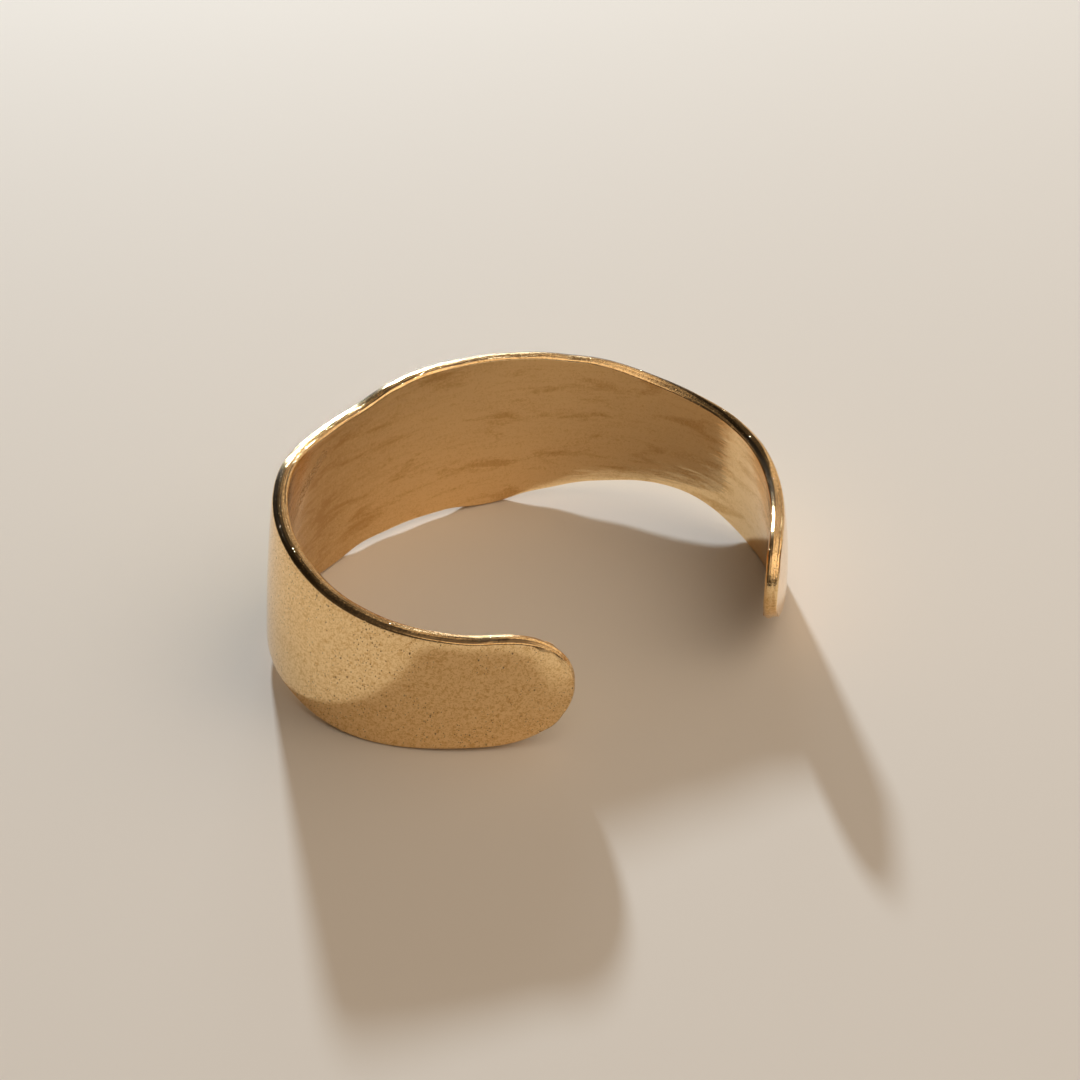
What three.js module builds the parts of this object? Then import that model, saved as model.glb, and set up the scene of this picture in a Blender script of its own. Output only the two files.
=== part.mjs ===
// A cuff bracelet: one open band of cast and forged yellow metal, wide at the back of the wrist and
// narrow at its two rounded ends. It lies on its lower edge, as it rests on a table by itself.
// Millimetres, +Z up. The gap for the wrist faces -Y, and the origin is on the ground under the
// middle of the band's box.
import * as THREE from "three";

// The band is measured along the middle of its wall, from the middle of the back to either end.
const HALF_LENGTH = 73;
const BACK_MIDDLE = { x: -1.24, y: 23.715 }; // where the middle of the wall stands at the middle of the back

// The wall.
const WALL = 1.85; // thickness at the middle of the back
const END_THINNING = 0.15; // share of that thickness that the ends have lost
const RIM_ROUND = 0.8; // radius of all the rounded edges
const LEAN_HEIGHT = 10; // height at which the leaning wall stands on the measured line
const OUTER_CROWN = 0.32; // bulge of the outer face at the middle of its height
const INNER_CROWN = 0.08; // and of the inner face, the same way

// The two ends are rounded as half a superellipse, which is fuller than a half ellipse.
const END_ROUND = { left: 10, right: 11 }; // length of the rounding
const FULLNESS = 2.2; // exponent of the superellipse; 2 is a plain ellipse

// One row per section, evenly spaced from the left end to the right end. bend is 1/radius in plan,
// low and high are the heights of the two edges, and lean is how far the wall leans in for each
// millimetre of height. The maker left both edges wavy: where low is under zero the edge is filed
// flat on the ground, and these are the lands that the band rests on.
const SECTIONS = [
  { bend: -0.007, low: 0.5, high: 14.2, lean: 0.09 },
  { bend: 0.029, low: 0.1, high: 13.9, lean: 0.09 },
  { bend: 0.054, low: -0.1, high: 15.9, lean: 0.09 },
  { bend: 0.05, low: 1.35, high: 18.9, lean: 0.09 },
  { bend: 0.042, low: 1.4, high: 20.7, lean: 0.09 },
  { bend: 0.032, low: -0.1, high: 20.3, lean: 0.09 },
  { bend: 0.024, low: 0.6, high: 21.8, lean: 0.09 },
  { bend: 0.03, low: -0.1, high: 21.7, lean: 0.09 },
  { bend: 0.035, low: 2.2, high: 20.4, lean: 0.09 },
  { bend: 0.043, low: 2.9, high: 17.75, lean: 0.09 },
  { bend: 0.054, low: -0.1, high: 15.9, lean: 0.09 },
  { bend: 0.0215, low: 1.45, high: 14.2, lean: 0.06 },
  { bend: -0.009, low: 3.3, high: 16.2, lean: -0.02 },
];

// How finely the surface is faceted.
const MAIN_STEPS = 92; // along the band, between the two rounded ends
const END_STEPS = 13; // along each rounded end
const OUTER_ROWS = 8; // up the outer face
const INNER_ROWS = 6; // down the inner face
const RIM_STEPS = 4; // round each edge

const { PI, abs, cos, max, min, sin, sqrt, tan } = Math;

// A smooth curve through one column of the table, at a distance along the band.
function tableValue(column, along) {
  const place = ((along / HALF_LENGTH + 1) / 2) * (SECTIONS.length - 1);
  const row = min(Math.floor(place), SECTIONS.length - 2);
  const share = place - row;
  const here = SECTIONS[row][column];
  const next = SECTIONS[row + 1][column];
  const before = row > 0 ? SECTIONS[row - 1][column] : 2 * here - next;
  const after = row + 2 < SECTIONS.length ? SECTIONS[row + 2][column] : 2 * next - here;
  const curve = (after - before) / 2 + 1.5 * (here - next);
  const swing = before - 2.5 * here + 2 * next - after / 2;
  return here + share * ((next - before) / 2 + share * (swing + share * curve));
}

// The stations along the band. spread is the share of the full height left at a station, and slope
// is how fast the outline closes there, both for the rounded ends.
function stations() {
  const list = [];
  const power = 2 / FULLNESS;
  for (const side of [-1, 1]) {
    const round = side < 0 ? END_ROUND.left : END_ROUND.right;
    for (let step = 1; step < END_STEPS; step++) {
      const angle = ((PI / 2) * step) / END_STEPS;
      const along = side * (HALF_LENGTH - round + round * sin(angle) ** power);
      list.push({ along, spread: cos(angle) ** power, slope: tan(angle) ** (2 - power) / round });
    }
  }
  const start = -HALF_LENGTH + END_ROUND.left;
  const length = HALF_LENGTH - END_ROUND.right - start;
  for (let step = 0; step <= MAIN_STEPS; step++) {
    list.push({ along: start + (length * step) / MAIN_STEPS, spread: 1, slope: 0 });
  }
  return list.sort((a, b) => a.along - b.along);
}

// The line of the wall in plan, walked from the middle of the back to a distance along the band:
// a point and the direction that faces out of the bracelet there.
function planAt(along) {
  const steps = max(1, Math.ceil(abs(along) / 0.25));
  const stride = along / steps;
  const place = { x: BACK_MIDDLE.x, y: BACK_MIDDLE.y };
  let heading = 0;
  for (let step = 0; step < steps; step++) {
    const turn = tableValue("bend", (step + 0.5) * stride) * stride;
    place.x += stride * cos(heading - turn / 2);
    place.y += stride * sin(heading - turn / 2);
    heading -= turn;
  }
  return { ...place, outX: -sin(heading), outY: cos(heading) };
}

// The closed outline of the wall's cross-section as [across, up] pairs, across being outwards from
// the middle of the wall and up from the middle of the height. It starts at the foot of the outer face.
function wallSection(thickness, half, slope) {
  const roundAcross = min(RIM_ROUND, 0.46 * thickness);
  const roundUp = min(0.94 * half, RIM_ROUND * sqrt(1 + slope * slope));
  const flatAcross = thickness / 2 - roundAcross;
  const flatUp = half - roundUp;
  const points = [];
  const face = (across, from, to, rows) => {
    for (let row = 1; row < rows; row++) points.push([across, from + ((to - from) * row) / rows]);
  };
  const corner = (sideAcross, sideUp, startAngle) => {
    for (let step = 0; step <= RIM_STEPS; step++) {
      const angle = startAngle + ((PI / 2) * step) / RIM_STEPS;
      const across = sideAcross * flatAcross + roundAcross * cos(angle);
      points.push([across, sideUp * flatUp + roundUp * sin(angle)]);
    }
  };
  face(thickness / 2, -flatUp, flatUp, OUTER_ROWS);
  corner(1, 1, 0);
  corner(-1, 1, PI / 2);
  face(-thickness / 2, flatUp, -flatUp, INNER_ROWS);
  corner(-1, -1, PI);
  corner(1, -1, (3 * PI) / 2);
  return points;
}

// One ring of the band in the part's frame.
function ring({ along, spread, slope }) {
  const low = tableValue("low", along);
  const high = tableValue("high", along);
  const half = ((high - low) / 2) * spread;
  const middle = (high + low) / 2;
  const lean = tableValue("lean", along);
  const share = along / HALF_LENGTH;
  const toEnd = HALF_LENGTH - abs(along);
  const endRound = toEnd < RIM_ROUND ? sqrt(1 - (1 - toEnd / RIM_ROUND) ** 2) : 1;
  const thickness = WALL * (1 - END_THINNING * share * share) * endRound;
  const { x, y, outX, outY } = planAt(along);
  return wallSection(thickness, half, (slope * (high - low)) / 2).map(([across, up]) => {
    const z = middle + up;
    const side = (2 * across) / thickness;
    const crown = (OUTER_CROWN * (1 + side) + INNER_CROWN * (1 - side)) / 2;
    const out = across + crown * (1 - (up / half) ** 2) - lean * (z - LEAN_HEIGHT);
    return [x + outX * out, y + outY * out, max(0, z)];
  });
}

// The tip of a rounded end, where the rings close.
function tip(side) {
  const along = side * HALF_LENGTH;
  const z = (tableValue("low", along) + tableValue("high", along)) / 2;
  const { x, y, outX, outY } = planAt(along);
  const out = (OUTER_CROWN + INNER_CROWN) / 2 - tableValue("lean", along) * (z - LEAN_HEIGHT);
  return [x + outX * out, y + outY * out, z];
}

// The whole band: its rings joined side by side and closed at both tips.
function bandGeometry() {
  const rings = stations().map(ring);
  const around = rings[0].length;
  const points = [...rings.flat(), tip(-1), tip(1)];
  const leftTip = rings.length * around;
  const last = (rings.length - 1) * around;
  const faces = [];
  for (let point = 0; point < around; point++) {
    const next = (point + 1) % around;
    faces.push(leftTip, next, point);
    faces.push(leftTip + 1, last + point, last + next);
    for (let start = 0; start < last; start += around) {
      const across = start + around;
      faces.push(start + point, start + next, across + next);
      faces.push(start + point, across + next, across + point);
    }
  }
  const geometry = new THREE.BufferGeometry();
  geometry.setAttribute("position", new THREE.Float32BufferAttribute(points.flat(), 3));
  geometry.setIndex(faces);
  geometry.computeVertexNormals();
  return geometry;
}

const gold = new THREE.MeshStandardMaterial({ color: 0xc49a68, roughness: 0.28, metalness: 1 });
const band = new THREE.Mesh(bandGeometry(), gold);
band.name = "band";

const cuff = new THREE.Group();
cuff.add(band);

export default cuff;
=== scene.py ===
# %% [markdown]
# # A gold cuff bracelet
# A cuff is one open band of metal that is pushed over the wrist sideways, through the gap between
# its two rounded ends. A goldsmith makes it from a flat blank: the outline is sawn out of sheet, the
# edges are filed round, and the blank is bent round a steel mandrel and polished. This lesson makes
# it the same way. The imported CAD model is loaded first, because it says where everything is.

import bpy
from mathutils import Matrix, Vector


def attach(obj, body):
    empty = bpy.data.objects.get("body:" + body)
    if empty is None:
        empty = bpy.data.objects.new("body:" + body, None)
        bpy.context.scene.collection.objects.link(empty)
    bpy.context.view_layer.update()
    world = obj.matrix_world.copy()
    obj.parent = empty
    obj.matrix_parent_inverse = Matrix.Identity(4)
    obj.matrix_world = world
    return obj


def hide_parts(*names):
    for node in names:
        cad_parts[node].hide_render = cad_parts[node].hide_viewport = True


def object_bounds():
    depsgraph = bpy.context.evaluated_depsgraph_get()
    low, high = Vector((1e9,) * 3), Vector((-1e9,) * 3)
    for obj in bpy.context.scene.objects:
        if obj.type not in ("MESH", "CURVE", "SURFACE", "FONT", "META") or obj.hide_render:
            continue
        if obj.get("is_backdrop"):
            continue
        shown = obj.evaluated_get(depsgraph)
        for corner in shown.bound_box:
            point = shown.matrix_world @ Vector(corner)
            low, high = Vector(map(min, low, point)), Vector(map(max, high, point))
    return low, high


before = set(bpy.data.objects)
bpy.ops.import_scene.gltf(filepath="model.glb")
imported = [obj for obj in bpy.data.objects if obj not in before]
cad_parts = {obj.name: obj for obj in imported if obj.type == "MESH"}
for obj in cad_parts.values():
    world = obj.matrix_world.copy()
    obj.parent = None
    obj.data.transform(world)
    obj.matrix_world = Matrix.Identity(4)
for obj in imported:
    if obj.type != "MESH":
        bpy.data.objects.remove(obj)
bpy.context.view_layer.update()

# %% Tools and units
import math

import bmesh
import bpy
from mathutils import Vector, noise

MM = 0.001  # the bench works in millimetres, and the finished mesh is scaled to metres

# %% [markdown]
# ## The camera
# A long lens about 32 cm away looks down on the cuff at 33 degrees. A target point on the floor is
# simpler to think about than angles, so the camera is placed first and then turned to it.

# %% Camera
CAMERA_AT = Vector((-150.0, -204.9, 175.05)) * MM
CAMERA_TARGET = Vector((10.35, 11.76, 0.0)) * MM
LENS = 87.9  # millimetres
SENSOR_WIDTH = 36  # millimetres
NEAREST = 10 * MM  # what is closer to the lens isn't drawn

camera_data = bpy.data.cameras.new("camera")
camera_data.lens = LENS
camera_data.sensor_width = SENSOR_WIDTH
camera_data.clip_start = NEAREST
camera = bpy.data.objects.new("camera", camera_data)
camera.location = CAMERA_AT
camera.rotation_euler = (CAMERA_TARGET - CAMERA_AT).to_track_quat("-Z", "Y").to_euler()
bpy.context.scene.collection.objects.link(camera)
bpy.context.scene.camera = camera
print("camera is", round((CAMERA_TARGET - CAMERA_AT).length / MM), "mm from its target")

# %% [markdown]
# ## Floor and light
# The floor is a plain sheet of pale paper. A small softbox stands low behind the cuff, a little to
# the left, so that long shadows fall towards the camera. Two big warm panels, one above the front
# and one at the right, fill the shadows. A small cool window straight behind the cuff is what the
# rim catches as a bright line. The room is dim, except at the right, and polished metal shows that
# difference along its round edges, so the room matters as much as the lamps.

# %% Floor
FLOOR_HALF = 4.0  # metres
FLOOR_COLOUR = (0.80, 0.765, 0.71, 1)
FLOOR_ROUGHNESS = 0.9
FLOOR_SHINE = 0.2

floor_mesh = bmesh.new()
bmesh.ops.create_grid(floor_mesh, x_segments=1, y_segments=1, size=FLOOR_HALF)
floor_data = bpy.data.meshes.new("floor")
floor_mesh.to_mesh(floor_data)
floor_mesh.free()
floor = bpy.data.objects.new("floor", floor_data)
bpy.context.scene.collection.objects.link(floor)
paper = bpy.data.materials.new("pale paper")
paper.use_nodes = True
paper_shader = paper.node_tree.nodes["Principled BSDF"]
paper_shader.inputs["Base Color"].default_value = FLOOR_COLOUR
paper_shader.inputs["Roughness"].default_value = FLOOR_ROUGHNESS
paper_shader.inputs["Specular IOR Level"].default_value = FLOOR_SHINE
floor_data.materials.append(paper)
floor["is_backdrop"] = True
print("floor:", 2 * FLOOR_HALF, "m square")

# %% Lamps
KEY_COLOUR = (0.84, 0.93, 1.0)
FILL_COLOUR = (1.0, 0.80, 0.61)
LAMPS = [  # name, direction from the cuff, distance and size in metres, power in watts, colour
    ("low softbox", (1.27, 2.61, 1.0), 1.0, 0.065, 10.6, KEY_COLOUR),
    ("top panel", (0.05, -0.72, 1.0), 1.2, 1.8, 6.9, FILL_COLOUR),
    ("side panel", (1.0, -0.35, 1.1), 1.3, 1.6, 3.0, FILL_COLOUR),
    ("back window", (0.595, 0.804, 0.31), 1.5, 0.32, 1.7, KEY_COLOUR),
]


def lamp(name, towards, distance, size, power, colour):
    """A softbox at a distance from the cuff in one direction, turned to face it."""
    towards = Vector(towards).normalized()
    data = bpy.data.lights.new(name, "AREA")
    data.shape = "DISK"
    data.size = size
    data.energy = power
    data.color = colour
    box = bpy.data.objects.new(name, data)
    box.location = towards * distance
    box.rotation_euler = towards.to_track_quat("Z", "Y").to_euler()
    bpy.context.scene.collection.objects.link(box)


for row in LAMPS:
    lamp(*row)
print("lamps:", [row[0] for row in LAMPS])

# %% Room
ROOM_COLOUR = (*FILL_COLOUR, 1)
TO_THE_RIGHT = (1.0, 0.0, 0.0)
DARK_UP_TO, LIGHT_FROM = 0.25, 0.9  # how far a direction points to the right, from -1 to 1
ROOM_DARK = 0.06  # strength of most of the room
ROOM_LIGHT = 0.50  # strength of its right side

world = bpy.data.worlds.new("room")
world.use_nodes = True
room_nodes = world.node_tree.nodes
room_links = world.node_tree.links
direction = room_nodes.new("ShaderNodeTexCoord")
facing = room_nodes.new("ShaderNodeVectorMath")
facing.operation = "DOT_PRODUCT"
facing.inputs[1].default_value = TO_THE_RIGHT
strength = room_nodes.new("ShaderNodeMapRange")
strength.interpolation_type = "SMOOTHSTEP"
strength.inputs["From Min"].default_value = DARK_UP_TO
strength.inputs["From Max"].default_value = LIGHT_FROM
strength.inputs["To Min"].default_value = ROOM_DARK
strength.inputs["To Max"].default_value = ROOM_LIGHT
background = room_nodes["Background"]
background.inputs["Color"].default_value = ROOM_COLOUR
room_links.new(direction.outputs["Generated"], facing.inputs[0])
room_links.new(facing.outputs["Value"], strength.inputs["Value"])
room_links.new(strength.outputs["Result"], background.inputs["Strength"])
bpy.context.scene.world = world
bpy.context.scene.view_settings.view_transform = "Standard"
print("room: strength", ROOM_DARK, "and at the right", ROOM_LIGHT)

# %% [markdown]
# ## The blank
# The flat blank has x along the strip, z up its height and y through its wall, all in millimetres.
# One row of the table is one section of the strip, evenly spaced from the left end to the right one:
# how sharply the strip is bent there, the heights of its two wavy edges, and how far the wall leans
# in for each millimetre of height. A smooth curve runs through each column.

# %% The sections of the strip
HALF_LENGTH = 73.0
SECTIONS = [  # bend in 1/mm, low edge and high edge in mm, lean
    (-0.007, 0.5, 14.2, 0.09),
    (0.029, 0.1, 13.9, 0.09),
    (0.054, -0.1, 15.9, 0.09),
    (0.050, 1.35, 18.9, 0.09),
    (0.042, 1.4, 20.7, 0.09),
    (0.032, -0.1, 20.3, 0.09),
    (0.024, 0.6, 21.8, 0.09),
    (0.030, -0.1, 21.7, 0.09),
    (0.035, 2.2, 20.4, 0.09),
    (0.043, 2.9, 17.75, 0.09),
    (0.054, -0.1, 15.9, 0.09),
    (0.0215, 1.45, 14.2, 0.06),
    (-0.009, 3.3, 16.2, -0.02),
]
BEND, LOW, HIGH, LEAN = range(4)


def section(column, along):
    """The smooth curve through one column of the table, at a distance along the strip."""
    place = (along / HALF_LENGTH + 1) / 2 * (len(SECTIONS) - 1)
    row = min(max(int(place), 0), len(SECTIONS) - 2)
    share = place - row
    here, after = SECTIONS[row][column], SECTIONS[row + 1][column]
    before = SECTIONS[row - 1][column] if row > 0 else 2 * here - after
    beyond = SECTIONS[row + 2][column] if row + 2 < len(SECTIONS) else 2 * after - here
    curve = (beyond - before) / 2 + 1.5 * (here - after)
    swing = before - 2.5 * here + 2 * after - beyond / 2
    return here + share * ((after - before) / 2 + share * (swing + share * curve))


print("height at the back:", round(section(HIGH, 0) - section(LOW, 0), 2), "mm")

# %% [markdown]
# A square grid becomes the blank's outline. Along the strip its rows only follow the wavy edges. The
# last stretch at each end is pressed from a square into half a superellipse, so the grid has no pole
# where its rows would pinch, and the polished ends catch the light evenly.

# %% Cut the outline
COLUMNS = 240
ROWS = 18
END_ROUND = {"left": 10.0, "right": 11.0}
FULLNESS = 2.2  # 2 would be a plain ellipse


def end_of(along):
    """Length of the rounding on this side, and how far into it a place is, from 0 to 1."""
    rounding = END_ROUND["left"] if along < 0 else END_ROUND["right"]
    return rounding, max(0.0, abs(along) - HALF_LENGTH + rounding) / rounding


def squeeze(share):
    """What is left of one side of the square, at a share of the way along the other side."""
    return (1 - abs(share) ** FULLNESS / 2) ** (1 / FULLNESS)


blank = bmesh.new()
bmesh.ops.create_grid(blank, x_segments=COLUMNS, y_segments=ROWS, size=1)
for vert in blank.verts:
    along, up = vert.co.x * HALF_LENGTH, vert.co.y
    rounding, into = end_of(along)
    if into > 0:
        along = math.copysign(HALF_LENGTH - rounding + rounding * into * squeeze(up), along)
        up *= squeeze(into)
    low, high = section(LOW, along), section(HIGH, along)
    vert.co = (along, 0, (high + low) / 2 + up * (high - low) / 2)
print("blank:", len(blank.faces), "faces,", round(2 * HALF_LENGTH), "mm long")

# %% [markdown]
# The flat outline gets its wall: the sheet is extruded and both skins are moved half a wall apart.
# The wall is 1.85 mm at the middle of the back and a little thinner at the ends. Every edge of the
# outline is then beveled with several segments, which files it round.

# %% Give it a wall
WALL = 1.85
THIN = WALL / 8  # what spans less than this of the wall lies along it
END_THINNING = 0.15
RIM_ROUND = 0.5
RIM_SEGMENTS = 6


def wall_at(along):
    return WALL * (1 - END_THINNING * (along / HALF_LENGTH) ** 2)


inner_skin = blank.faces[:]
extruded = bmesh.ops.extrude_face_region(blank, geom=inner_skin, use_keep_orig=True)
outer_verts = {item for item in extruded["geom"] if isinstance(item, bmesh.types.BMVert)}
for vert in blank.verts:
    vert.co.y = wall_at(vert.co.x) / 2 * (1 if vert in outer_verts else -1)
bmesh.ops.recalc_face_normals(blank, faces=blank.faces)
print("with its wall:", len(blank.faces), "faces")


# %% Round its edges
def span(item):
    """How much of the wall an edge or a face spans."""
    return max(v.co.y for v in item.verts) - min(v.co.y for v in item.verts)


def is_outline(edge):
    """True where a skin meets the narrow rim between the two skins."""
    spans = [span(face) for face in edge.link_faces]
    return min(spans) < THIN < max(spans)


through = [edge for edge in blank.edges if span(edge) > WALL / 2]
bmesh.ops.subdivide_edges(blank, edges=through, cuts=1)
outline = [edge for edge in blank.edges if is_outline(edge)]
bmesh.ops.bevel(
    blank, geom=outline, offset=RIM_ROUND, offset_type="OFFSET", affect="EDGES",
    segments=RIM_SEGMENTS, profile=0.5, material=-1,
)
print("with its round rim:", len(blank.faces), "faces")

# %% [markdown]
# A file never leaves a perfect round. Its strokes run along the rim, so they leave long shallow
# flats there, and the flats meet in a crest that stands up a little. The crest runs near the middle
# of the wall, moves to the outside towards the right, and turns over to the inside near the right
# end. The table says where it is and how much was filed off the slope on each side of it. Each point
# is also moved a little along its normal. The normal says which part of the metal a point is on: it
# points to -y on the inside skin, to +y on the outside one, and sideways on the crest of the rim.

# %% The line of the crest
CREST_HEIGHT = 0.05
CREST_LINE = [  # place along, crest's place in the wall, loss of its outer and of its inner slope, mm
    (22.0, 0.06, 0.15, 0.13),
    (40.0, 0.28, 0.0, 0.34),
    (50.0, 0.28, 0.0, 0.34),
    (58.0, -0.30, 0.30, 0.0),
]


def crest_at(along):
    """The crest's place and the loss of both its slopes, blended softly between two rows."""
    row = next((i for i, spot in enumerate(CREST_LINE) if spot[0] > along), len(CREST_LINE) - 1)
    before, after = CREST_LINE[max(0, row - 1)], CREST_LINE[row]
    share = (along - before[0]) / max(1.0, after[0] - before[0])
    share = min(1, max(0, share))
    share *= share * (3 - 2 * share)
    return [a + (b - a) * share for a, b in zip(before[1:], after[1:])]


print("the crest at the back is", crest_at(0)[0], "mm outside the middle of the wall")

# %% File the rim
STROKE_DEPTH = 0.035
STROKE_LENGTH = 9.0
STROKE_WIDTH = 17  # degrees round the rim
STROKE_CHANGE = 20  # mm of height over which the strokes change, so that the two edges differ
CREST_CHANGE = 30  # and the same for the crest
CREST_UNEVEN = 0.6  # share of the filing that comes and goes
SKIN_SLOPE = 88  # degrees: a point that faces the wall's side more squarely is on a skin
RIM_FADE = 15  # degrees over which the strokes fade out towards a skin

blank.normal_update()
skin = blank.verts.layers.float.new("skin")
for vert in blank.verts:
    vert[skin] = vert.normal.y
    slope = math.degrees(math.asin(max(-1, min(1, vert.normal.y))))
    along = vert.co.x / STROKE_LENGTH
    rim = min(1, max(0, (SKIN_SLOPE - abs(slope)) / RIM_FADE))
    uneven = 1 + CREST_UNEVEN * noise.noise(Vector((along, 0, vert.co.z / CREST_CHANGE)))
    at_stroke = Vector((along, slope / STROKE_WIDTH, vert.co.z / STROKE_CHANGE))
    stroke = STROKE_DEPTH * noise.noise(at_stroke)
    vert.co += vert.normal * rim * stroke
    crest, outer_loss, inner_loss = crest_at(vert.co.x)
    if abs(vert.co.y) < THIN:
        vert.co += vert.normal * CREST_HEIGHT
        vert.co.y = crest * uneven
    elif rim > 0:
        drop = outer_loss if vert.co.y > 0 else inner_loss
        sideways = Vector((vert.normal.x, 0, vert.normal.z))
        vert.co -= sideways * drop * uneven
print("filed:", sum(abs(vert[skin]) < 0.5 for vert in blank.verts), "points on the rim")

# %% [markdown]
# Before it is bent, each point of the blank keeps its flat place in an attribute. Brush marks and
# scratches are drawn on the flat strip, so they follow the metal round the bend.

# %% Mark the flat place
flat_place = blank.verts.layers.float_vector.new("flat_place")
for vert in blank.verts:
    vert[flat_place] = vert.co
print("marked:", len(blank.verts), "points")

# %% [markdown]
# ## The bend
# In plan the band is a smooth curve, tighter at the sides than at the back. A walk of quarter
# millimetre strides from the middle of the back turns a little at each stride, as the bend column
# says. A point of the blank is carried to its place on that walk and stands out from it by its place
# in the wall.

# %% Walk the plan
BACK_MIDDLE = Vector((-1.24, 23.715))
STRIDE = 0.25


def walk(side):
    """Places and headings from the middle of the back to one end, one for each stride."""
    place, heading = BACK_MIDDLE.copy(), 0.0
    steps = [(place.copy(), heading)]
    for step in range(round(HALF_LENGTH / STRIDE) + 1):
        turn = section(BEND, side * (step + 0.5) * STRIDE) * side * STRIDE
        middle = heading - turn / 2
        place += side * STRIDE * Vector((math.cos(middle), math.sin(middle)))
        heading -= turn
        steps.append((place.copy(), heading))
    return steps


path = {-1: walk(-1), 1: walk(1)}


def plan_at(along):
    """Place of the middle of the wall in plan, and the direction that faces out of the cuff."""
    side = -1 if along < 0 else 1
    step = min(int(abs(along) / STRIDE), len(path[side]) - 2)
    share = abs(along) / STRIDE - step
    (place, heading), (next_place, next_heading) = path[side][step], path[side][step + 1]
    heading += (next_heading - heading) * share
    return place.lerp(next_place, share), Vector((-math.sin(heading), math.cos(heading)))


tips = [plan_at(side * HALF_LENGTH)[0] for side in (-1, 1)]
print("the gap between the ends is about", round((tips[1] - tips[0]).length, 1), "mm")

# %% [markdown]
# Each skin bulges slightly across its height, and the outer one rolls over next to its edge, where
# the polishing wheel wore it down. The wall leans in towards the top, and the low edge is flat where
# it would go under the floor.

# %% Bend the blank
LEAN_HEIGHT = 10.0  # the leaning wall stands on the walked line at this height
OUTER_CROWN = {"left": 0.17, "right": 0.33}
INNER_CROWN = 0.08
SHOULDER_WIDTH = 1.5  # mm of the outer skin next to its edge that roll over towards the rim
SHOULDER_DROP = 0.11


def from_outline(along, z):
    """1 in the middle of a skin, falling to 0 at the outline."""
    low, high = section(LOW, along), section(HIGH, along)
    up = abs(2 * z - high - low) / (high - low)
    into = end_of(along)[1]
    return max(0.0, 1 - (up ** FULLNESS + into ** FULLNESS) ** (2 / FULLNESS))


def bent(flat):
    """The place in the finished cuff of a place in the flat blank."""
    along, across, z = flat
    place, outwards = plan_at(max(-HALF_LENGTH, min(HALF_LENGTH, along)))
    side = 2 * across / wall_at(along)
    to_right = (along / HALF_LENGTH + 1) / 2
    outer_crown = OUTER_CROWN["left"] * (1 - to_right) + OUTER_CROWN["right"] * to_right
    crown = (outer_crown * (1 + side) + INNER_CROWN * (1 - side)) / 2
    middle = from_outline(along, z)
    half = (section(HIGH, along) - section(LOW, along)) / 2
    to_edge = half * (1 - math.sqrt(1 - middle))
    shoulder = max(0.0, 1 - to_edge / SHOULDER_WIDTH) ** 2 * SHOULDER_DROP * max(0.0, side)
    out = across + crown * middle - shoulder - section(LEAN, along) * (z - LEAN_HEIGHT)
    place = place + outwards * out
    return Vector((place.x, place.y, max(0.0, z)))


print("the middle of the back goes to", [round(v, 1) for v in bent((0.0, 0.0, LEAN_HEIGHT))], "mm")

# %% [markdown]
# The mandrel and the planishing hammer leave the surface very slightly uneven. Smooth noise moves
# each point a few hundredths of a millimetre, more at the hand-filed rim. Reflections in polished
# metal magnify that, and it is what makes the band look handmade. The maker also left a few dents in
# the upper edge, and filed the lower edge higher in four places.

# %% Handwork
FACE_WAVE = (0.05, 11.0, 3.0)  # depth and length of the waves in the faces in mm, and a seed
RIM_WAVE = (0.09, 5.0, 7.0)  # and in the rim
FACE_STEADY = 0.2  # through the wall the waves change this much more slowly
RIM_STEADY = 0.3  # and up the rim
TO_RIM = 4  # how quickly the waves of the face give way to those of the rim
LAND_HEIGHT = 1.0  # under this the rim is left as it stands on the ground
EDGE_ONLY = 4  # power that keeps dents and lifts close to their own edge
DENTS = [  # place, width and depth, mm
    (-6.5, 3.6, 0.40),
    (-1.2, 0.9, 0.12),
    (21.5, 1.6, 0.10),
    (-63.0, 2.5, 0.10),
]
LIFTS = [  # place, width and height, mm
    (-7.0, 3.0, 0.45),
    (6.5, 2.5, 0.3),
    (16.0, 2.5, 0.3),
    (71.0, 6.0, 0.5),
]


def wave(flat, depth, length, seed):
    return depth * noise.noise(Vector(flat) / length + Vector((0, seed, 0)))


def handmade(flat):
    """A place in the flat blank, moved a little by the hammer and the file."""
    along, across, z = flat
    on_face = min(1, TO_RIM * from_outline(along, z))
    across += wave((along, across * FACE_STEADY, z), *FACE_WAVE) * on_face
    off_ground = min(1, max(0, z - LAND_HEIGHT) / LAND_HEIGHT)
    z += wave((along, 0, z * RIM_STEADY), *RIM_WAVE) * (1 - on_face) * off_ground
    above = max(0.0, (z - section(LOW, along)) / (section(HIGH, along) - section(LOW, along)))
    for place, width, depth in DENTS:
        z -= depth * above ** EDGE_ONLY * math.exp(-(((along - place) / width) ** 2))
    for place, width, height in LIFTS:
        z += height * (1 - above) ** EDGE_ONLY * math.exp(-(((along - place) / width) ** 2))
    return along, across, z


for vert in blank.verts:
    vert.co = bent(handmade(vert.co))
spans = [max(v.co[i] for v in blank.verts) - min(v.co[i] for v in blank.verts) for i in range(3)]
print("bent:", [round(value, 1) for value in spans], "mm")

# %% The finished piece
bmesh.ops.scale(blank, vec=(MM, MM, MM), verts=blank.verts)
for face in blank.faces:
    face.smooth = True
cuff_data = bpy.data.meshes.new("cuff")
blank.to_mesh(cuff_data)
blank.free()
cuff = bpy.data.objects.new("cuff", cuff_data)
bpy.context.scene.collection.objects.link(cuff)
smooth = cuff.modifiers.new("smooth", "SUBSURF")
smooth.levels = 1
smooth.render_levels = 1
print("cuff:", len(cuff_data.polygons), "faces before it is smoothed")

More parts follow.
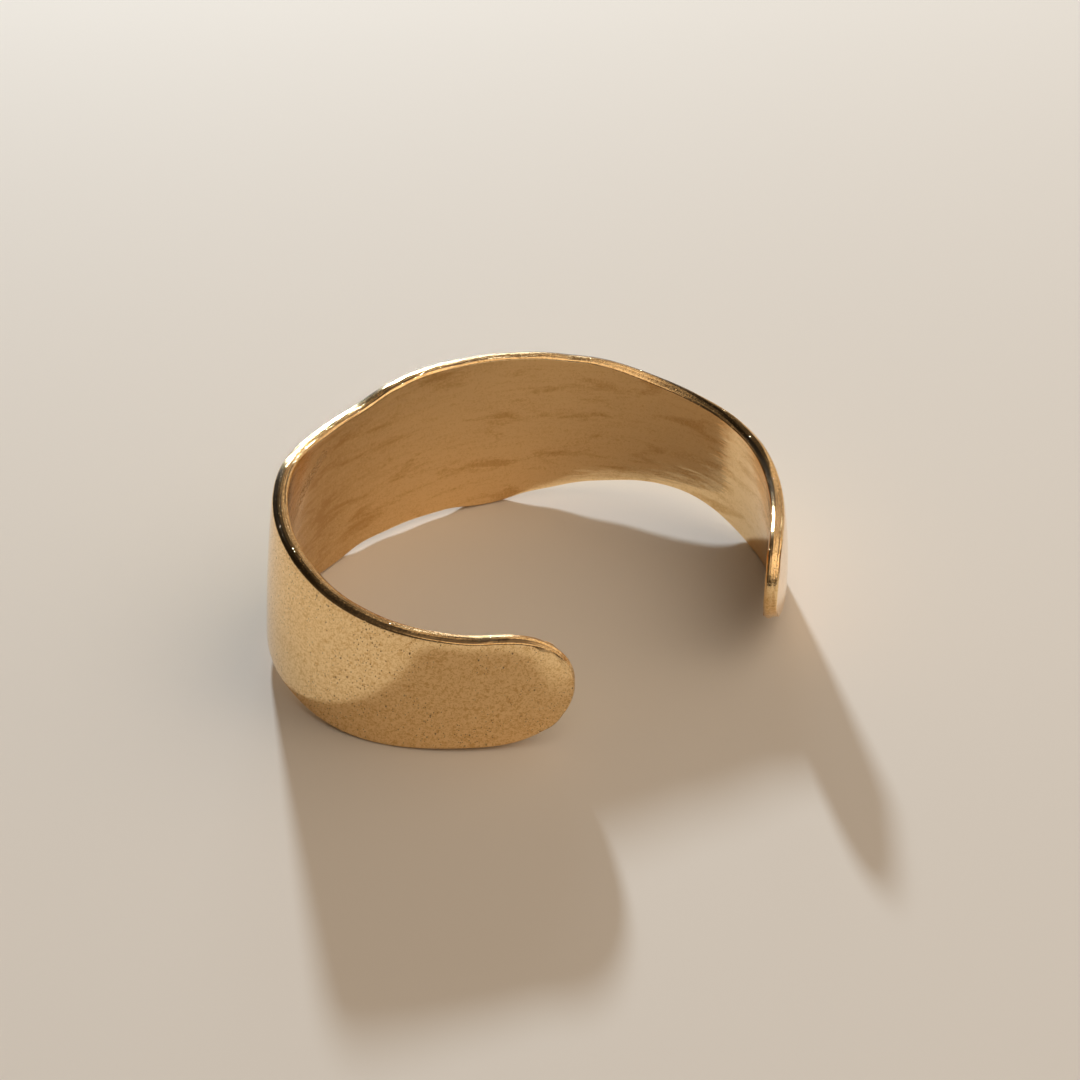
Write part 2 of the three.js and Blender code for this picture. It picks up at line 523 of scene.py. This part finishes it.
# %% [markdown]
# ## The gold
# The metal is yellow and warm. Outside it is polished, with a fine orange-peel grain and a scatter
# of tiny casting pits. Inside it keeps the brush marks that run round the band. The rim has the
# fine lines of the file. All three finishes share two effects, streaks and pits, so each effect is a
# node group, which is built once and placed with its own values wherever it is needed.

# %% Helpers for nodes
def add(tree, kind, inputs=None, **settings):
    """Adds a node with its settings, and fills its inputs with values or other nodes' outputs."""
    made = tree.nodes.new(kind)
    for name, value in settings.items():
        setattr(made, name, value)
    for name, value in (inputs or {}).items():
        if isinstance(value, bpy.types.NodeSocket):
            tree.links.new(value, made.inputs[name])
        else:
            made.inputs[name].default_value = value
    return made


def calc(tree, operation, first, second):
    return add(tree, "ShaderNodeMath", {0: first, 1: second}, operation=operation).outputs[0]


def remap(tree, value, start, end, low=0.0, high=1.0):
    """Turns the range start to end into low to high, with soft ends."""
    wanted = {"Value": value, "From Min": start, "From Max": end, "To Min": low, "To Max": high}
    made = add(tree, "ShaderNodeMapRange", wanted, interpolation_type="SMOOTHSTEP")
    return made.outputs["Result"]


def new_group(name, inputs, outputs):
    """A node group with named inputs, each with its type and value, and named outputs."""
    group = bpy.data.node_groups.new(name, "ShaderNodeTree")
    for label, kind, value in inputs:
        socket = group.interface.new_socket(label, in_out="INPUT", socket_type="NodeSocket" + kind)
        socket.default_value = value
    for label in outputs:
        group.interface.new_socket(label, in_out="OUTPUT", socket_type="NodeSocketFloat")
    start = group.nodes.new("NodeGroupInput")
    end = group.nodes.new("NodeGroupOutput")
    return group, start.outputs, end.inputs


# %% [markdown]
# Streaks are noise that is stretched along the strip. The input Marks says how many there are to a
# millimetre along the strip, through the wall and up it. The output lies between about -1 and 1.

# %% Streaks
STREAK_DETAIL = 3.5
STREAK_ROUGHNESS = 0.6
STREAK_GAIN = 3.0  # noise seldom strays further than a third from its middle

group_streaks, given, result = new_group(
    "streaks",
    [("Place", "Vector", (0, 0, 0)), ("Marks", "Vector", (0.1, 0, 3)), ("Waver", "Float", 0.0)],
    ["Height"],
)
stretched = add(
    group_streaks, "ShaderNodeVectorMath",
    {0: given["Place"], 1: given["Marks"]}, operation="MULTIPLY",
)
streak_noise = add(
    group_streaks, "ShaderNodeTexNoise",
    {"Vector": stretched.outputs[0], "Scale": 1.0, "Detail": STREAK_DETAIL,
     "Roughness": STREAK_ROUGHNESS, "Distortion": given["Waver"]},
)
centred = calc(group_streaks, "SUBTRACT", streak_noise.outputs[0], 0.5)
heights = calc(group_streaks, "MULTIPLY", centred, STREAK_GAIN)
group_streaks.links.new(heights, result["Height"])
print("streaks:", len(group_streaks.nodes), "nodes")

# %% [markdown]
# Pits are the middles of the cells of a Voronoi pattern. The pattern fills space and the surface
# only cuts through it, so the pits come out in all sizes. A broad noise gathers them in patches.

# %% Pits
PATCH_SCALE = 0.16  # patches to a millimetre
PATCH_DETAIL = 2.0
PATCH_ROUGHNESS = 0.6
PATCH_EDGE = 0.08  # how gradually the pits come in at the edge of a patch

group_pits, given, result = new_group(
    "pits",
    [("Place", "Vector", (0, 0, 0)), ("Spacing", "Float", 0.7), ("Radius", "Float", 0.1),
     ("Patches", "Float", 0.5)],
    ["Mask"],
)
closer = calc(group_pits, "DIVIDE", 1.0, given["Spacing"])
cells = add(
    group_pits, "ShaderNodeTexVoronoi",
    {"Vector": given["Place"], "Scale": closer, "Randomness": 1.0},
)
reach = calc(group_pits, "MULTIPLY", cells.outputs["Distance"], given["Spacing"])
hole = remap(group_pits, reach, given["Radius"], 0.0)
broad = add(
    group_pits, "ShaderNodeTexNoise",
    {"Vector": given["Place"], "Scale": PATCH_SCALE, "Detail": PATCH_DETAIL,
     "Roughness": PATCH_ROUGHNESS},
)
beyond = calc(group_pits, "ADD", given["Patches"], PATCH_EDGE)
patch = remap(group_pits, broad.outputs[0], given["Patches"], beyond)
group_pits.links.new(calc(group_pits, "MULTIPLY", hole, patch), result["Mask"])
print("pits:", len(group_pits.nodes), "nodes")

# %% [markdown]
# The material reads the flat place and the skin number of each point. Three masks say where the
# inside, the rim and the outside are, and every effect is multiplied by the masks it belongs to.

# %% Start the gold
gold = bpy.data.materials.new("gold")
gold.use_nodes = True
tree = gold.node_tree
metal = tree.nodes["Principled BSDF"]
flat_at = add(tree, "ShaderNodeAttribute", attribute_name="flat_place").outputs["Vector"]
skin_at = add(tree, "ShaderNodeAttribute", attribute_name="skin").outputs["Fac"]
flat_axes = add(tree, "ShaderNodeSeparateXYZ", {0: flat_at}).outputs
along_at = flat_axes["X"]
through_at = flat_axes["Y"]
height_at = flat_axes["Z"]
rim_at = add(tree, "ShaderNodeCombineXYZ", {"X": along_at, "Y": through_at}).outputs[0]
print("gold reads the attributes flat_place and skin")


# %% Arithmetic in the gold
def plus(first, second):
    return calc(tree, "ADD", first, second)


def minus(first, second):
    return calc(tree, "SUBTRACT", first, second)


def times(first, second):
    return calc(tree, "MULTIPLY", first, second)


def most(first, second):
    return calc(tree, "MAXIMUM", first, second)


def apart(first, second):
    """How far apart two values are."""
    return calc(tree, "ABSOLUTE", minus(first, second), 0.0)


def mask(value, start, end, low=0.0, high=1.0):
    return remap(tree, value, start, end, low, high)


def effect(group, output, place=flat_at, **values):
    """Places one of the two groups with its own values."""
    made = add(tree, "ShaderNodeGroup", node_tree=group)
    tree.links.new(place, made.inputs["Place"])
    for name, value in values.items():
        made.inputs[name].default_value = value
    return made.outputs[output]


# %% Where each finish is
SKIN_FROM, SKIN_FULL = 0.80, 0.97  # skin numbers between which a skin's finish comes in

inside = mask(skin_at, -SKIN_FROM, -SKIN_FULL)
outside = mask(skin_at, SKIN_FROM, SKIN_FULL)
not_inside = minus(1.0, inside)
rim = minus(not_inside, outside)


def by_place(elsewhere, within):
    """One value on the inside of the cuff and another one elsewhere."""
    return mask(inside, 0, 1, elsewhere, within)


# %% [markdown]
# Every kind of mark is an effect with its own size. Grain lies all over. Brush marks and broader
# scrapes run round the inside. Fine file lines run along the rim, which has tiny nicks as well, and
# the pits come in two sizes.

# %% Marks
grain = effect(group_streaks, "Height", Marks=(3.2, 3.2, 3.6), Waver=1.2)
brush = effect(group_streaks, "Height", Marks=(0.14, 1.0, 4.2), Waver=0.25)
scrape = effect(group_streaks, "Height", Marks=(0.16, 1.0, 0.75), Waver=0.4)
file_lines = effect(group_streaks, "Height", rim_at, Marks=(0.11, 3.4, 0), Waver=0.35)
nicks = effect(group_streaks, "Height", Marks=(2.6, 3.4, 3.4), Waver=0.0)
small_pits = effect(group_pits, "Mask", Spacing=0.40, Radius=0.09, Patches=0.42)
large_pits = effect(group_pits, "Mask", Spacing=1.1, Radius=0.17, Patches=0.46)
casting_pits = most(small_pits, large_pits)

# %% [markdown]
# High on the inside, left of the middle, something hard once rubbed along the band. The scuff is a
# slanting stroke, so it is found from its distance to a line on the flat strip. The nicks break it
# up, and it took the tarnish with it.

# %% The scuff
SCUFF_ALONG = (0.894, 0.0, 0.447)
SCUFF_ACROSS = (-0.447, 0.0, 0.894)
SCUFF_LINE = 22.35  # place of its line across the stroke, mm
SCUFF_MIDDLE = -9.5  # place of its middle along the stroke, mm
SCUFF_SIDES = (1.1, 0.3)  # mm from the line where it starts and where it is full
SCUFF_ENDS = (6.5, 3.5)  # mm from the middle, in the same way
SCUFF_BREAKS = (-0.1, 0.4)  # heights of the nicks between which it comes in


def measured(direction):
    """Place of each point along one direction of the flat strip."""
    made = add(tree, "ShaderNodeVectorMath", {0: flat_at, 1: direction}, operation="DOT_PRODUCT")
    return made.outputs["Value"]


beside = apart(measured(SCUFF_ACROSS), SCUFF_LINE)
from_middle = apart(measured(SCUFF_ALONG), SCUFF_MIDDLE)
scuff = times(mask(beside, *SCUFF_SIDES), mask(from_middle, *SCUFF_ENDS))
scuff = times(scuff, mask(nicks, *SCUFF_BREAKS))

# %% [markdown]
# The relief adds up the heights of all the marks in millimetres, and one Bump node turns it into
# the normal. Marks as fine as these are under the size of the mesh's faces.

# %% Relief
RELIEF_MM = {
    "grain": 0.003,
    "brush": 0.004,
    "scrape": 0.026,
    "file lines": 0.03,
    "nicks": 0.012,
    "pits": 0.05,
    "scuff": 0.05,
}


def raised(name, height, where):
    """One kind of mark, brought to its height and kept to its place."""
    return times(times(height, RELIEF_MM[name]), where)


relief = raised("grain", grain, 1.0)
for name, height, where in (
    ("brush", brush, inside),
    ("scrape", scrape, inside),
    ("file lines", file_lines, rim),
    ("nicks", nicks, rim),
    ("scuff", scuff, inside),
):
    relief = plus(relief, raised(name, height, where))
relief = minus(relief, raised("pits", casting_pits, not_inside))
bump = add(tree, "ShaderNodeBump", {"Height": relief, "Strength": 1.0, "Distance": MM})
tree.links.new(bump.outputs["Normal"], metal.inputs["Normal"])
print("relief in mm:", RELIEF_MM)

# %% [markdown]
# Colour and roughness follow the same marks. The inside has brown shadows of tarnish, drawn out
# along the band, where the cloth never rubs. Towards the left painted shade is added to them, which
# darkens the inner face there. A speckle in the grain is all that is left of them outside.

# %% Tarnish
SPECKLE = (2.3, 0.8)  # how strongly the grain is coloured, elsewhere and inside
SPECKLE_BASE = (0.08, 0.03)  # tarnish that lies all over, elsewhere and inside
SHADOW_SHARE = (0.15, 0.75)  # strength of the shadows, elsewhere and inside
SHADOW_EDGE = (0.0, 0.55)  # heights of the noise between which a shadow comes in
RUBBED_SHARE = 0.5
SHADE_TOWARDS_LEFT = (5.0, -30.0, 0.0, 0.9)  # from and to these places painted shade adds this much to the tarnish

shadows = effect(group_streaks, "Height", Marks=(0.11, 0.1, 0.42), Waver=0.6)
rubbed = effect(group_streaks, "Height", Marks=(0.2, 0.3, 1.6), Waver=0.3)
speckle = plus(times(grain, by_place(*SPECKLE)), by_place(*SPECKLE_BASE))
shadowy = plus(mask(shadows, *SHADOW_EDGE), times(rubbed, RUBBED_SHARE))
# Painted shade: the tarnish grows towards the left of the inside, which darkens it there.
shadowy = plus(shadowy, mask(along_at, *SHADE_TOWARDS_LEFT))
tarnish_and_shade = plus(speckle, times(shadowy, by_place(*SHADOW_SHARE)))
tarnish_and_shade = times(tarnish_and_shade, minus(1.0, times(scuff, inside)))

# %% [markdown]
# Dirt stays where a cloth doesn't reach: in the pits, in the deepest file lines along the rim, and
# in a few long scratches outside. The tips are handled most, so their rim is clean.

# %% Dirt
PIT_DIRT = 0.85
GROOVE_DIRT = 0.8
GROOVE_EDGE = (-0.12, -0.45)  # depths between which a file line fills with dirt
SCRATCH_DIRT = 0.6
SCRATCH_EDGE = (0.62, 0.8)
BETWEEN_TIPS = -5.0  # mm along, the middle of the dirty rim
CLEAN_TIP = (68.0, 62.0)  # mm from that middle, where the rim is clean and where it is dirty

pitted = times(times(casting_pits, not_inside), PIT_DIRT)
long_rim = times(rim, mask(apart(along_at, BETWEEN_TIPS), *CLEAN_TIP))
grooves = times(mask(file_lines, *GROOVE_EDGE), times(long_rim, GROOVE_DIRT))
scratches = effect(group_streaks, "Height", Marks=(0.3, 1.0, 5.0), Waver=0.1)
scratched = times(mask(scratches, *SCRATCH_EDGE), times(outside, SCRATCH_DIRT))

# %% [markdown]
# A broken dark line is drawn in the colour along the upper rim. It follows the
# outer corner from the left end round the back, and crosses to the inner side towards the right.

# %% The dark line
LEFT_DARK_LINE, RIGHT_DARK_LINE = 0.60, -0.40  # mm from the middle of the wall
DARK_LINE_CROSSES = (30.0, 48.0)  # mm along
DARK_LINE_SIDES = (0.36, 0.15)  # mm from its line where it starts and where it is full
DARK_LINE_BREAKS = (-0.6, -0.15)  # heights of the noise under which it is gone, and over which it is full
UPPER_RIM = (6.0, 9.0)  # mm up, over which it comes in
DARK_LINE_STRENGTH = 0.9

dark_line_place = mask(along_at, *DARK_LINE_CROSSES, LEFT_DARK_LINE, RIGHT_DARK_LINE)
dark_line_breaks = effect(group_streaks, "Height", rim_at, Marks=(0.12, 1.5, 0), Waver=0.0)
dark_line = times(mask(apart(through_at, dark_line_place), *DARK_LINE_SIDES), mask(dark_line_breaks, *DARK_LINE_BREAKS))
dark_line = times(dark_line, times(long_rim, mask(height_at, *UPPER_RIM, 0.0, DARK_LINE_STRENGTH)))
dirt_and_dark_line = most(most(pitted, grooves), most(scratched, dark_line))

# %% [markdown]
# Painted shade lies on the inside as a thin dark layer in the colour. One stretch darkens the left.
# The other one, at the right, paints the dark side of a reflected shadow edge. It ends in ragged
# edges, one across the band and one along its foot, which follow the brush strokes.

# %% Painted shade
BRUSH_REACH, SCRAPE_REACH = 2.2, 1.5  # mm that the strokes shift the edge of the painted shade along the band
BRUSH_LIFT = 0.7  # mm that they shift its lower edge up
SIDE_EDGE = (43.2, 42.4)  # mm along
FOOT_SLOPE = 0.14  # the lower edge of the painted shade rises this much to a millimetre
FOOT_EDGE = (-0.9, -0.4)  # mm up, at the middle of the back
RIGHT_PAINTED_SHADE = (12.0, 38.0, 0.0, 0.3)  # from and to these places it grows from none to this share
LEFT_PAINTED_SHADE = (8.0, -20.0, 0.0, 0.28)

strokes = plus(times(brush, BRUSH_REACH), times(scrape, SCRAPE_REACH))
side_edge = mask(plus(along_at, strokes), *SIDE_EDGE)
rising = minus(height_at, times(along_at, FOOT_SLOPE))
foot_edge = mask(plus(rising, times(brush, BRUSH_LIFT)), *FOOT_EDGE)
# Painted shade: the dark side of a reflected shadow edge, at the right of the inside.
right_painted_shade = times(side_edge, times(foot_edge, mask(along_at, *RIGHT_PAINTED_SHADE)))
# Painted shade: the inside darkened towards the left, together with the right stretch.
painted_shade = times(plus(right_painted_shade, mask(along_at, *LEFT_PAINTED_SHADE)), inside)

# %% [markdown]
# The clean gold is mixed with tarnish and the painted shade towards the left first, and the result
# with dirt, the dark line and the painted shade of the inside.

# %% Colour
# The tarnish colour also paints the shade towards the left, and the dark colour paints dirt, the dark
# line and the painted shade of the inside.
GOLD = (1.0, 0.72, 0.38, 1)
TARNISH_AND_SHADE = (0.74, 0.465, 0.19, 1)
DIRT_AND_SHADE = (0.11, 0.07, 0.035, 1)


def mixed(share, first, second):
    made = add(tree, "ShaderNodeMix", {"Factor": share, 6: first, 7: second}, data_type="RGBA")
    return made.outputs[2]


coloured = mixed(plus(dirt_and_dark_line, painted_shade), mixed(tarnish_and_shade, GOLD, TARNISH_AND_SHADE), DIRT_AND_SHADE)
tree.links.new(coloured, metal.inputs["Base Color"])
metal.inputs["Metallic"].default_value = 1.0

# %% [markdown]
# The outside is polished and the brush leaves the inside satin. Roughness is added on the filed rim
# and where there are smears, dirt, the dark line or the scuff, which blurs the reflections there.

# %% Roughness
POLISHED = 0.06
SATIN = 0.09
FILED = 0.05
SMEARED = 0.04
DIRTY = 0.12
SCUFFED = 0.2

smear = effect(group_streaks, "Height", Marks=(0.12, 0.2, 0.3), Waver=1.0)
rough = by_place(POLISHED, SATIN)
for where, amount in (
    (rim, FILED),
    (smear, SMEARED),
    (dirt_and_dark_line, DIRTY),
    (times(scuff, inside), SCUFFED),
):
    rough = plus(rough, times(where, amount))
tree.links.new(rough, metal.inputs["Roughness"])
cuff_data.materials.append(gold)
print("gold:", len(tree.nodes), "nodes")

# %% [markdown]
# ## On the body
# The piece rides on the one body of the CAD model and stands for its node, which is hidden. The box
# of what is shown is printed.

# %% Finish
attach(cuff, "root")
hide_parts("band")

low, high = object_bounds()
print("finished box, mm:", [round(1000 * (b - a), 1) for a, b in zip(low, high)])
